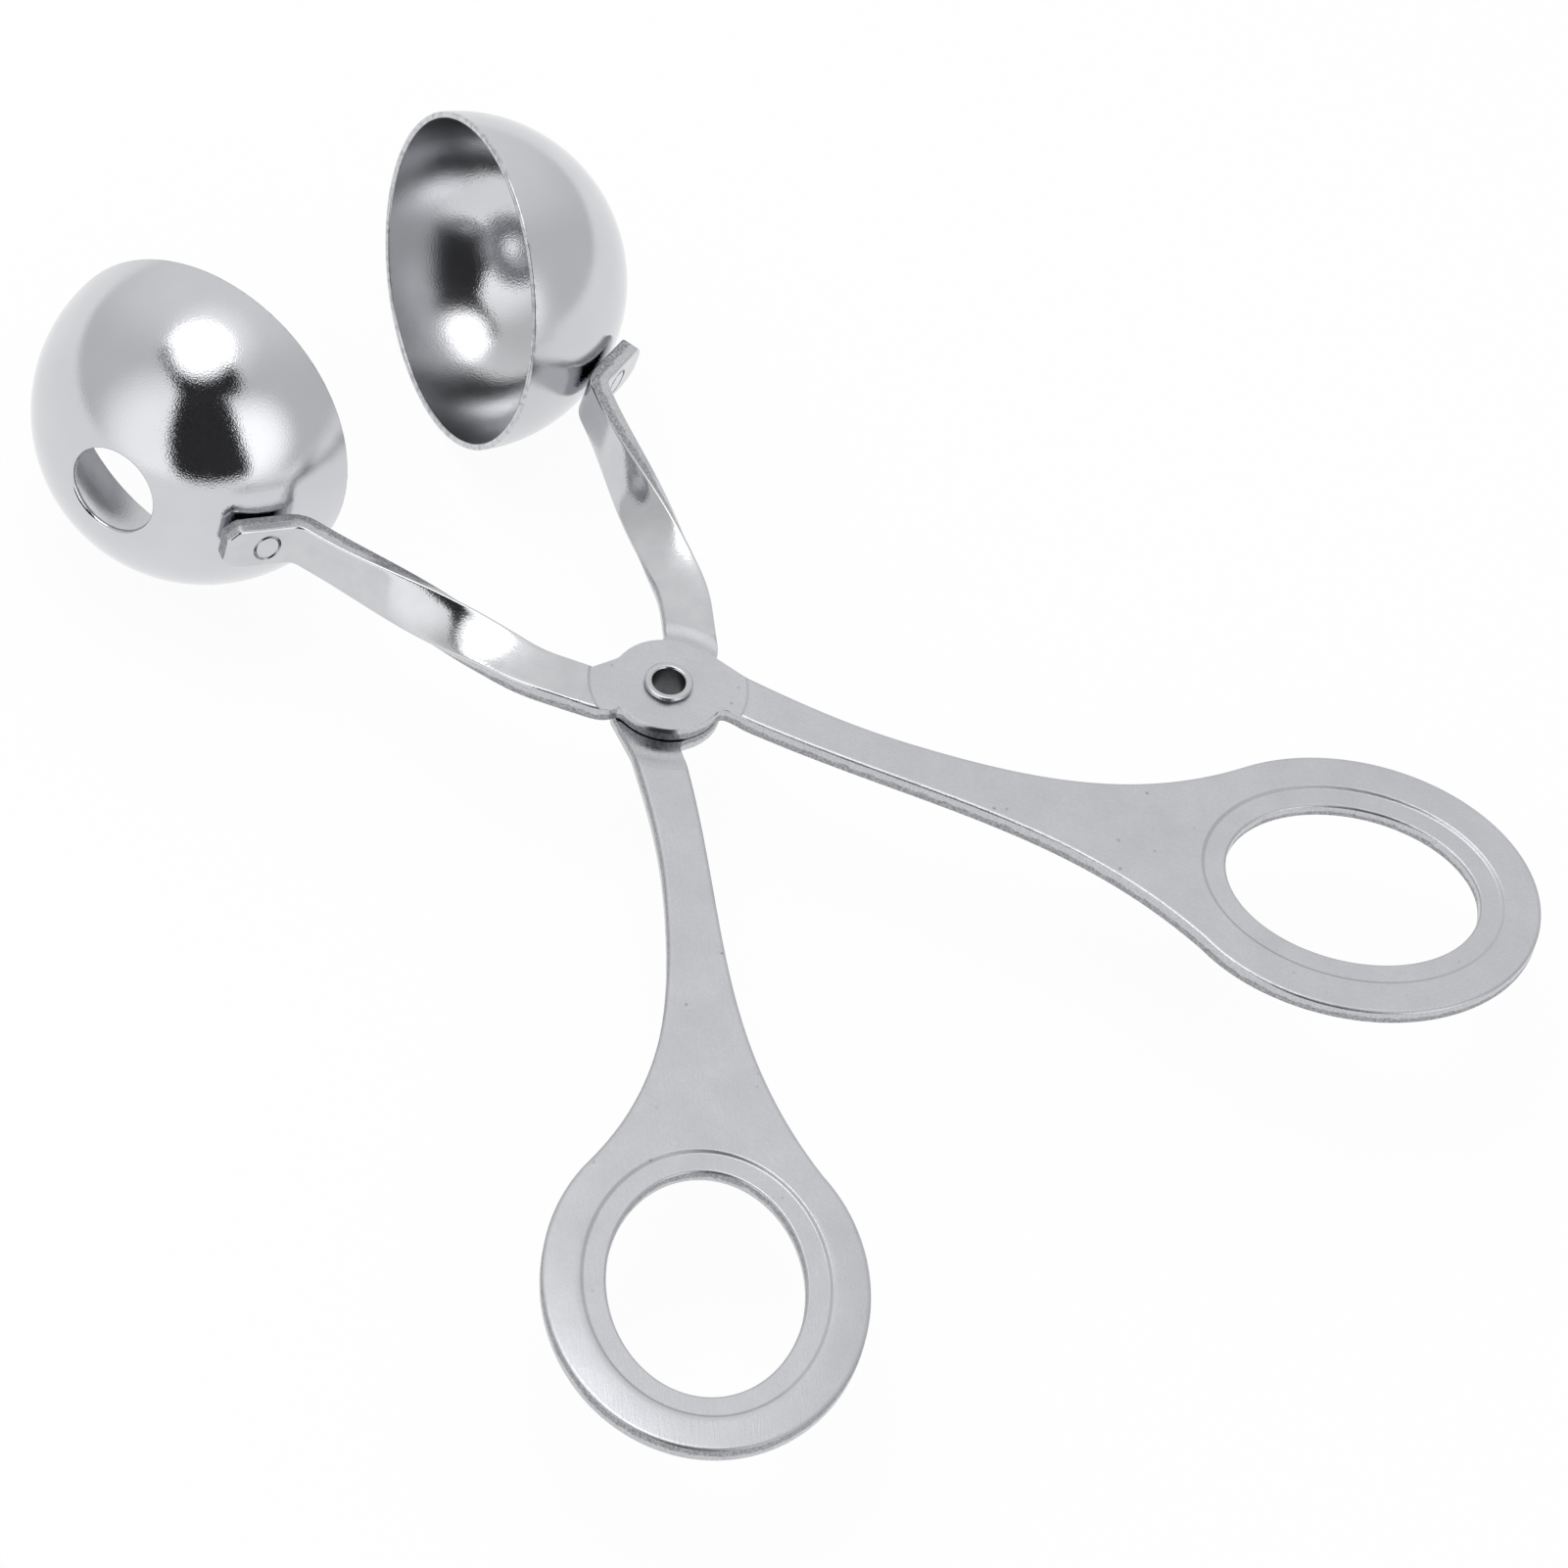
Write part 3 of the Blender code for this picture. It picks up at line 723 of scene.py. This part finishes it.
def tree_with(name, inputs):
    """A geometry node tree that takes a shape and named inputs, with its two end nodes."""
    tree = bpy.data.node_groups.new(name, "GeometryNodeTree")
    tree.interface.new_socket("Geometry", in_out="OUTPUT", socket_type="NodeSocketGeometry")
    tree.interface.new_socket("Profile", in_out="INPUT", socket_type="NodeSocketGeometry")
    for label, kind in inputs.items():
        tree.interface.new_socket(label, in_out="INPUT", socket_type=kind)
    return tree, tree.nodes.new("NodeGroupInput").outputs, tree.nodes.new("NodeGroupOutput").inputs


def swept_profile(tree, taken):
    """Sweeps the profile along a line: its mesh, each point's turn, and its place in the profile."""
    line = added(tree, "GeometryNodeCurvePrimitiveLine", {"End": (0.0, 0.0, 1.0)}).outputs[0]
    steps = added(tree, "GeometryNodeResampleCurve", {"Curve": line, "Count": taken["Steps"]}, mode="COUNT")
    turned = tree.nodes.new("GeometryNodeCaptureAttribute")
    turned.capture_items.new("FLOAT", "Turned")
    factor = added(tree, "GeometryNodeSplineParameter").outputs["Factor"]
    tree.links.new(steps.outputs[0], turned.inputs[0])
    tree.links.new(factor, turned.inputs["Turned"])
    outline = added(tree, "GeometryNodeMeshToCurve", {0: taken["Profile"]}).outputs[0]
    place = tree.nodes.new("GeometryNodeCaptureAttribute")
    place.capture_items.new("VECTOR", "Place")
    tree.links.new(outline, place.inputs[0])
    tree.links.new(added(tree, "GeometryNodeInputPosition").outputs[0], place.inputs["Place"])
    sweep = added(
        tree, "GeometryNodeCurveToMesh", {"Curve": turned.outputs[0], "Profile Curve": place.outputs[0]}
    )
    angle = calc(tree, "MULTIPLY", turned.outputs["Turned"], math.tau)
    parts = added(tree, "ShaderNodeSeparateXYZ", {0: place.outputs["Place"]}).outputs
    return sweep.outputs[0], angle, parts


def placed_and_closed(tree, mesh, position):
    """Puts every point in its place and closes seams and poles."""
    placed = added(tree, "GeometryNodeSetPosition", {"Geometry": mesh, "Position": position}).outputs[0]
    joined = added(tree, "GeometryNodeMergeByDistance", {"Geometry": placed, "Distance": 2e-7}).outputs[0]
    smooth = added(tree, "GeometryNodeSetShadeSmooth", {"Geometry": joined}).outputs[0]
    return added(tree, "GeometryNodeRealizeInstances", {"Geometry": smooth}).outputs[0]


def half_ball_tree():
    """Bends a flat wall profile, as (share of the way from vent to rim, offset), over a half ball."""
    sizes = ("Middle Radius", "Vent Radius", "Vent Lean", "Vent Bearing", "Rim Height")
    inputs = {"Steps": "NodeSocketInt", **dict.fromkeys(sizes, "NodeSocketFloat")}
    inputs.update(dict.fromkeys(("Material", "Inside Material"), "NodeSocketMaterial"))
    tree, taken, given = tree_with("Half ball", inputs)
    mesh, bearing, parts = swept_profile(tree, taken)
    radius = calc(tree, "ADD", taken["Middle Radius"], parts["Y"])
    cosine = calc(tree, "COSINE", bearing)
    sine = calc(tree, "SINE", bearing)
    lean = calc(tree, "TANGENT", taken["Vent Lean"])
    dip = calc(tree, "ARCTANGENT", calc(tree, "MULTIPLY", cosine, lean))
    raised = calc(tree, "ARCSINE", calc(tree, "DIVIDE", taken["Rim Height"], radius))
    rim = calc(tree, "SUBTRACT", calc(tree, "SUBTRACT", math.pi / 2, dip), raised)
    vent = calc(tree, "ARCSINE", calc(tree, "DIVIDE", taken["Vent Radius"], taken["Middle Radius"]))
    reach = calc(tree, "MULTIPLY", parts["X"], calc(tree, "SUBTRACT", rim, vent))
    polar = calc(tree, "ADD", vent, reach)
    across = calc(tree, "MULTIPLY", radius, calc(tree, "SINE", polar))
    point = added(
        tree,
        "ShaderNodeCombineXYZ",
        {
            "X": calc(tree, "MULTIPLY", across, cosine),
            "Y": calc(tree, "MULTIPLY", across, sine),
            "Z": calc(tree, "MULTIPLY", radius, calc(tree, "COSINE", polar)),
        },
    ).outputs[0]
    leaned = added(
        tree,
        "ShaderNodeVectorRotate",
        {"Vector": point, "Angle": taken["Vent Lean"]},
        rotation_type="Y_AXIS",
    )
    turned = added(
        tree,
        "ShaderNodeVectorRotate",
        {"Vector": leaned.outputs[0], "Angle": taken["Vent Bearing"]},
        rotation_type="Z_AXIS",
    )
    ball = placed_and_closed(tree, mesh, turned.outputs[0])
    settings = {"Geometry": ball, "Name": "reach", "Value": parts["X"]}
    marked = added(tree, "GeometryNodeStoreNamedAttribute", settings).outputs[0]
    steel = added(tree, "GeometryNodeSetMaterial", {"Geometry": marked, "Material": taken["Material"]})
    inside = calc(tree, "LESS_THAN", parts["Y"], -0.3 * MM)
    settings = {"Geometry": steel.outputs[0], "Selection": inside, "Material": taken["Inside Material"]}
    lined = added(tree, "GeometryNodeSetMaterial", settings)
    tree.links.new(lined.outputs[0], given[0])
    return tree


def wall_profile(vented):
    """Profile of the bowl's wall: outside from the vent to the rim, then back inside."""
    length = math.pi / 2 * (BORE_RADIUS + BOWL_WALL / 2)
    half = BOWL_WALL / 2
    rim = []
    for step in range(9):
        angle = math.pi * step / 8
        across = min(max(math.cos(angle) * BOWL_EDGE_ROUND * 1.4, -BOWL_EDGE_ROUND), BOWL_EDGE_ROUND)
        inset = BOWL_EDGE_ROUND - math.sqrt(max(BOWL_EDGE_ROUND**2 - across**2, 0.0))
        rim.append((inset / length, math.copysign(half - BOWL_EDGE_ROUND, across) + across))
    outside = [(step / WALL_STEPS, half) for step in range(1, WALL_STEPS)]
    inside = [(1 - step / WALL_STEPS, -half) for step in range(1, WALL_STEPS)]
    points = outside + [(1 - inset, offset) for inset, offset in rim] + inside
    if vented:
        return points + [(inset, -offset) for inset, offset in rim]
    return [(0.0, half)] + points + [(0.0, -half)]


def by_nodes(name, profile, closed, tree, values, place):
    """A piece made by a node tree from a profile of (x, y), as a plain mesh in its place."""
    edges = [(index, index + 1) for index in range(len(profile) - 1)]
    if closed:
        edges.append((len(profile) - 1, 0))
    data = bpy.data.meshes.new(name)
    data.from_pydata([(x, y, 0.0) for x, y in profile], edges, [])
    drawn = shown(name, data)
    modifier = drawn.modifiers.new(tree.name, "NODES")
    modifier.node_group = tree
    for item in tree.interface.items_tree:
        if item.in_out == "INPUT" and item.name in values:
            modifier[item.identifier] = values[item.name]
    evaluated = drawn.evaluated_get(bpy.context.evaluated_depsgraph_get())
    made = bpy.data.meshes.new_from_object(evaluated)
    bpy.data.objects.remove(drawn, do_unlink=True)
    mesh = bmesh.new()
    mesh.from_mesh(made)
    bmesh.ops.delete(mesh, geom=[edge for edge in mesh.edges if not edge.link_faces], context="EDGES")
    bmesh.ops.recalc_face_normals(mesh, faces=mesh.faces)
    mesh.to_mesh(made)
    mesh.free()
    made.transform(place)
    return shown(name, made)


def polished(name, colour, rough, rim_rough):
    """Buffed steel: nearly a mirror, duller towards the rim, with the fine orange peel of drawn sheet."""
    material, tree, shader, place = bare_steel(name)
    haze = ranged(tree, noise(tree, place, 8 * MM, 4.0), 0.3, 0.7, 0.0, 1.0)
    reach = added(tree, "ShaderNodeAttribute", attribute_name="reach").outputs["Fac"]
    duller = ranged(tree, reach, 0.62, 0.95, 0.0, rim_rough - rough)
    uneven = ranged(tree, haze, 0.0, 1.0, rough * 0.85, rough * 1.2)
    tree.links.new(calc(tree, "ADD", uneven, duller), shader.inputs["Roughness"])
    darker = tuple(value * 0.95 for value in colour)
    steel = mixed(tree, haze, (*darker, 1.0), (*colour, 1.0))
    nicks = ranged(tree, noise(tree, place, 0.9 * MM, 3.0), 0.45, 0.65, 0.0, 0.5)
    on_rim = ranged(tree, reach, 0.984, 0.99, 0.0, 1.0)
    steel = mixed(tree, calc(tree, "MULTIPLY", nicks, on_rim), steel, (0.3, 0.305, 0.32, 1.0))
    tree.links.new(steel, shader.inputs["Base Color"])
    waves = noise(tree, place, 6 * MM, 1.0)
    grain = noise(tree, place, 0.2 * MM)
    relief(tree, shader, ((waves, 0.03 * MM), (grain, 0.014 * MM)))
    return material


bowl_steel = polished("polished_bowl", (0.63, 0.637, 0.66), 0.07, 0.22)
bowl_inside = polished("bowl_inside", (0.64, 0.645, 0.665), 0.08, 0.25)
half_ball = half_ball_tree()
for name, arm, vent in (("vented_bowl", "upper_arm", VENT_RADIUS), ("plain_bowl", "lower_arm", 0.0)):
    values = {
        "Middle Radius": BORE_RADIUS + BOWL_WALL / 2,
        "Vent Radius": vent,
        "Vent Lean": VENT_LEAN if vent else 0.0,
        "Vent Bearing": VENT_BEARING,
        "Rim Height": RIM_CLEARANCE / 2,
        "Steps": 257,
        "Material": bowl_steel,
        "Inside Material": bowl_inside,
    }
    place = arm_places[arm] @ bowl_frame()
    bowl = by_nodes(f"{name}_shell", wall_profile(bool(vent)), bool(vent), half_ball, values, place)
    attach(bowl, arm)
    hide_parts(name)

# Rivet: a short steel tube through both bosses, with a turned flange below and its upper end rolled
# over into a collar, which holds the arms together and lets them turn.

RIVET_BORE = 1.95 * MM
RIVET_WALL = 0.45 * MM
COLLAR = (2.9 * MM, 0.65 * MM)
FLANGE = (3.6 * MM, 0.7 * MM)
COLLAR_SEAT = PLATE_TOP - COIN_DEPTH + 0.1 * MM


def turned_tree():
    """Turns a profile of (radius, height) once round Z, with a second material inside its bore, here a dull
    one painted dark as painted shade.
    """
    inputs = {"Steps": "NodeSocketInt", "Bore Radius": "NodeSocketFloat"}
    inputs.update(dict.fromkeys(("Material", "Bore Material"), "NodeSocketMaterial"))
    tree, taken, given = tree_with("Turned", inputs)
    mesh, bearing, parts = swept_profile(tree, taken)
    point = added(
        tree,
        "ShaderNodeCombineXYZ",
        {
            "X": calc(tree, "MULTIPLY", parts["X"], calc(tree, "COSINE", bearing)),
            "Y": calc(tree, "MULTIPLY", parts["X"], calc(tree, "SINE", bearing)),
            "Z": parts["Y"],
        },
    ).outputs[0]
    tube = placed_and_closed(tree, mesh, point)
    steel = added(tree, "GeometryNodeSetMaterial", {"Geometry": tube, "Material": taken["Material"]})
    inside = calc(tree, "LESS_THAN", parts["X"], taken["Bore Radius"])
    settings = {"Geometry": steel.outputs[0], "Selection": inside, "Material": taken["Bore Material"]}
    bore = added(tree, "GeometryNodeSetMaterial", settings)
    tree.links.new(bore.outputs[0], given[0])
    return tree


def bore_painted_shade():
    """Inside of the tube, left dull as it was drawn, and painted nearly black: painted shade for the shade
    deep in the narrow bore.
    """
    material, tree, shader, place = bare_steel("bore_painted_shade")
    blotches = ranged(tree, noise(tree, place, 0.7 * MM, 3.0), 0.3, 0.7, 0.0, 1.0)
    # Painted shade: both colours are far darker than bare steel and stand in for the shade inside the bore;
    # the noise mottles it at random.
    colour = mixed(tree, blotches, (0.07, 0.072, 0.078, 1.0), (0.13, 0.133, 0.14, 1.0))
    tree.links.new(colour, shader.inputs["Base Color"])
    tree.links.new(ranged(tree, blotches, 0.0, 1.0, 0.34, 0.5), shader.inputs["Roughness"])
    relief(tree, shader, ((noise(tree, place, 0.3 * MM), 0.01 * MM),))
    return material


def rivet_profile():
    """Wall of the rivet from the flange's mouth to the collar's mouth and back down its outside."""
    halves = []
    for reach, height in (FLANGE, COLLAR):
        crown = height / 2
        half = []
        for step in range(9):
            angle = math.pi / 2 * step / 8
            out = crown * (1 - math.cos(angle))
            half.append((RIVET_BORE + out, height - crown * (1 - math.sin(angle))))
        for step in range(17):
            angle = math.pi / 2 - math.pi * step / 16
            half.append((reach - crown + crown * math.cos(angle), crown + crown * math.sin(angle)))
        half.append((RIVET_BORE + RIVET_WALL, 0.0))
        halves.append([(radius, COLLAR_SEAT + rise) for radius, rise in half])
    flange, collar = halves
    return [(radius, -height) for radius, height in flange] + collar[::-1]


values = {
    "Steps": 129,
    "Bore Radius": RIVET_BORE + 0.03 * MM,
    "Material": polished("polished_rivet", (0.56, 0.565, 0.58), 0.2, 0.2),
    "Bore Material": bore_painted_shade(),
}
rivet = by_nodes("rolled_rivet", rivet_profile(), True, turned_tree(), values, at_pivot)
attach(rivet, "lower_arm")
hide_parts("pivot_eyelet")

# Studio: white paper and pale walls under a round soft box, with black cloth round the camera and
# beside the box, which only the steel mirrors. The walls glow more in four directions.


def soft_box(name, place, width, level, fade):
    """A round lamp that faces down: level is its brightness, where 1 is white; it fades at its rim."""
    data = bpy.data.lights.new(name, "AREA")
    data.shape = "DISK"
    data.size = width
    data.energy = math.pi * math.pi * width * width / 4
    data.use_nodes = True
    tree = data.node_tree
    across = added(tree, "ShaderNodeNewGeometry").outputs["Parametric"]
    settings = {0: across, 1: (0.5, 0.5, 0.0)}
    reach = added(tree, "ShaderNodeVectorMath", settings, operation="DISTANCE").outputs["Value"]
    share = ranged(tree, reach, 0.5 - fade, 0.5, level, 0.0)
    tree.links.new(share, tree.nodes["Emission"].inputs["Strength"])
    box = bpy.data.objects.new(name, data)
    bpy.context.scene.collection.objects.link(box)
    box.location = place
    box.visible_camera = False


def seen_at(bearing, height, distance):
    """Point at a bearing and height, both in degrees, seen from the middle of the tool."""
    level = math.cos(math.radians(height))
    return Vector((*direction(math.radians(bearing)) * level, math.sin(math.radians(height)))) * distance


LAMP = Vector((-0.091, 0.126, 0.62))
soft_box("overhead soft box", LAMP, width=0.49, level=1.25, fade=0.06)

black = bpy.data.materials.new("black cloth")
black.use_nodes = True
black.node_tree.nodes["Principled BSDF"].inputs["Base Color"].default_value = (0.05, 0.05, 0.052, 1.0)
black.node_tree.nodes["Principled BSDF"].inputs["Roughness"].default_value = 1.0

# Corners of the cloth round the camera, sideways and up, and the edge of the one beside the box, as
# (bearing in degrees, distance) from the lamp's middle.
CLOTH_DISTANCE = 1.2
CAMERA_CLOTH = (
    (-0.48, 0.62), (-0.48, 0.32), (-0.49, 0.08), (-0.48, -0.15), (-0.43, -0.38), (-0.36, -0.56),
    (-0.23, -0.67), (0.0, -0.70), (0.26, -0.69), (0.5, -0.65), (0.76, -0.61), (0.87, -0.58),
    (0.82, -0.36), (0.65, -0.08), (0.52, 0.19), (0.42, 0.39), (0.31, 0.62),
)
BOX_CLOTH_INSIDE = 0.17
BOX_CLOTH = (
    (128, 0.26), (134, 0.296), (150, 0.3), (170, 0.3), (191, 0.33), (203, 0.4), (215, 0.44), (238, 0.45),
    (253, 0.455), (264, 0.455), (274, 0.46), (280, 0.45), (289, 0.375), (294, 0.316), (297, 0.27),
)


def dark_card(name, points, faces):
    """Black cloth that only the steel sees."""
    data = bpy.data.meshes.new(name)
    data.from_pydata(points, [], faces)
    data.materials.append(black)
    card = shown(name, data)
    card.visible_camera = False
    card.visible_diffuse = False
    card.visible_shadow = False


facing = seen_at(225, 32, 1.0)
level_way = direction(math.radians(315)).to_3d()
upward = facing.cross(level_way)
points = [facing * CLOTH_DISTANCE + level_way * x + upward * y for x, y in CAMERA_CLOTH]
dark_card("cloth round the camera", points, [list(range(len(points)))])
edges = [LAMP.to_2d() + direction(math.radians(bearing)) * reach for bearing, reach in BOX_CLOTH]
edges += [LAMP.to_2d() + direction(math.radians(bearing)) * BOX_CLOTH_INSIDE for bearing, _ in BOX_CLOTH]
points = [(x, y, LAMP.z + 0.02) for x, y in edges]
count = len(BOX_CLOTH)
quads = [(index, index + 1, count + index + 1, count + index) for index in range(count - 1)]
dark_card("cloth beside the soft box", points, quads)

ground = bmesh.new()
bmesh.ops.create_grid(ground, x_segments=1, y_segments=1, size=4.0)
floor_mesh = bpy.data.meshes.new("floor")
ground.to_mesh(floor_mesh)
ground.free()
floor_mesh.transform(Matrix.Translation((0.0, 0.0, cad_box[0].z - 0.1 * MM)))
floor = shown("floor", floor_mesh)


def white_for(tree, *rays):
    """1 for the kinds of ray that see white, and 0 for the rest."""
    paths = added(tree, "ShaderNodeLightPath").outputs
    seen = 0.0
    for ray in rays:
        seen = calc(tree, "MAXIMUM", seen, paths[ray])
    return seen


WHITE_RAYS = ("Is Camera Ray", "Is Glossy Ray", "Is Transmission Ray")
PAPER_SHARE = 0.9
PAPER_LIGHT = 1.034
paper = bpy.data.materials.new("white paper")
paper.use_nodes = True
tree = paper.node_tree
shader = tree.nodes["Principled BSDF"]
shader.inputs["Base Color"].default_value = (0.97, 0.97, 0.97, 1.0)
shader.inputs["Roughness"].default_value = 1.0
shader.inputs["Specular IOR Level"].default_value = 0.0
shine = added(tree, "ShaderNodeEmission", {"Strength": PAPER_LIGHT}).outputs[0]
share = calc(tree, "MULTIPLY", white_for(tree, *WHITE_RAYS), PAPER_SHARE)
lit = added(tree, "ShaderNodeMixShader", {0: share, 1: shader.outputs[0], 2: shine}).outputs[0]
below = added(tree, "ShaderNodeNewGeometry").outputs["Backfacing"]
clear = added(tree, "ShaderNodeBsdfTransparent").outputs[0]
split = added(tree, "ShaderNodeMixShader", {0: below, 1: lit, 2: clear}).outputs[0]
tree.links.new(split, tree.nodes["Material Output"].inputs["Surface"])
floor_mesh.materials.append(paper)

# The light that the steel mirrors from the walls, and the light that they give. Each glow on them has
# its bearing, its height, how far it stays full and where it ends, in degrees, and its level.
WALLS = 0.7
ROOM_LIGHT = 0.55
GLOWS = ((200, 22, 8, 54, 0.58), (262, 25, 7, 36, 0.9), (50, 40, 12, 62, 0.2), (60, 84, 4, 34, 0.35))

world = bpy.data.worlds.new("white studio")
bpy.context.scene.world = world
world.use_nodes = True
tree = world.node_tree
looking = added(tree, "ShaderNodeTexCoord").outputs["Generated"]
walls = WALLS
for bearing, height, full, gone, level in GLOWS:
    settings = {0: looking, 1: seen_at(bearing, height, 1.0)}
    near = added(tree, "ShaderNodeVectorMath", settings, operation="DOT_PRODUCT").outputs["Value"]
    glow = added(
        tree,
        "ShaderNodeMapRange",
        {
            "Value": near,
            "From Min": math.cos(math.radians(gone)),
            "From Max": math.cos(math.radians(full)),
            "To Max": level,
        },
        interpolation_type="SMOOTHSTEP",
    ).outputs["Result"]
    walls = calc(tree, "ADD", walls, glow)
mirrored = white_for(tree, *WHITE_RAYS[1:])
camera_sees = white_for(tree, "Is Camera Ray")
brighter = calc(tree, "MULTIPLY", mirrored, calc(tree, "SUBTRACT", walls, ROOM_LIGHT))
level = calc(tree, "MAXIMUM", calc(tree, "ADD", brighter, ROOM_LIGHT), camera_sees)
background = tree.nodes["Background"]
background.inputs["Color"].default_value = (1.0, 1.0, 1.0, 1.0)
tree.links.new(level, background.inputs["Strength"])
world.cycles.sampling_method = "NONE"

# Camera: the photograph's own view, from high up on the left of the handles and through a long lens.
# Its place and its turns were fitted to the photograph.

CAMERA_RISE = math.radians(50.825)
CAMERA_ROLL = math.radians(-13.347)
CAMERA_TURN = math.radians(-50.154)
CAMERA_PLACE = Vector((15.957, -620.898, 750.999)) * MM
LENS_LENGTH = 189.85
up = Vector((0.0, math.sin(CAMERA_RISE), math.cos(CAMERA_RISE)))
ahead = Vector((0.0, math.cos(CAMERA_RISE), -math.sin(CAMERA_RISE)))
side = Vector((1.0, 0.0, 0.0))
right = side * math.cos(CAMERA_ROLL) - up * math.sin(CAMERA_ROLL)
upright = side * math.sin(CAMERA_ROLL) + up * math.cos(CAMERA_ROLL)
aim = Matrix((right, upright, -ahead)).transposed().to_4x4()
about_pivot = at_pivot @ Matrix.Rotation(CAMERA_TURN, 4, "Z")
lens = bpy.data.cameras.new("camera")
lens.lens = LENS_LENGTH
lens.sensor_width = 36.0
camera = bpy.data.objects.new("camera", lens)
bpy.context.scene.collection.objects.link(camera)
camera.matrix_world = about_pivot @ Matrix.Translation(CAMERA_PLACE) @ aim
bpy.context.scene.camera = camera

bpy.context.scene.view_settings.view_transform = "Standard"
